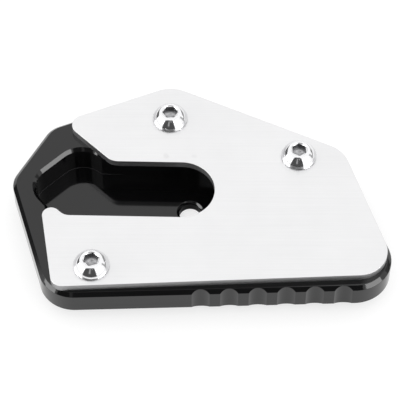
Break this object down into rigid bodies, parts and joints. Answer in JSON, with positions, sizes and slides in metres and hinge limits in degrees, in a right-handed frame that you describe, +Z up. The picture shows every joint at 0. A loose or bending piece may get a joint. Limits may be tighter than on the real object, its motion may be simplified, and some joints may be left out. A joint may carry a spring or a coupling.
{
  "type": "side stand foot enlarger",
  "caption": "Milled block with a clamp plate that widens the foot of a motorbike side stand; the foot lies in its pocket and the leg leaves through the slot.",
  "frame": {"origin": "middle of the block's length and width, on its underside", "axes": "+X along the scalloped front wall to the right, +Y to the peak of the back wall, +Z up through the clamp plate"},
  "size_m": [0.1102, 0.0744, 0.0176],
  "materials": {
    "anodised_block": "satin black anodised",
    "brushed_plate": "fine brushed, silver",
    "screw_steel": "bright polished stainless steel"
  },
  "bodies": {
    "root": {"base": "anodised_block", "clamp_plate": "brushed_plate", "button_screws": "screw_steel"}
  },
  "joints": []
}
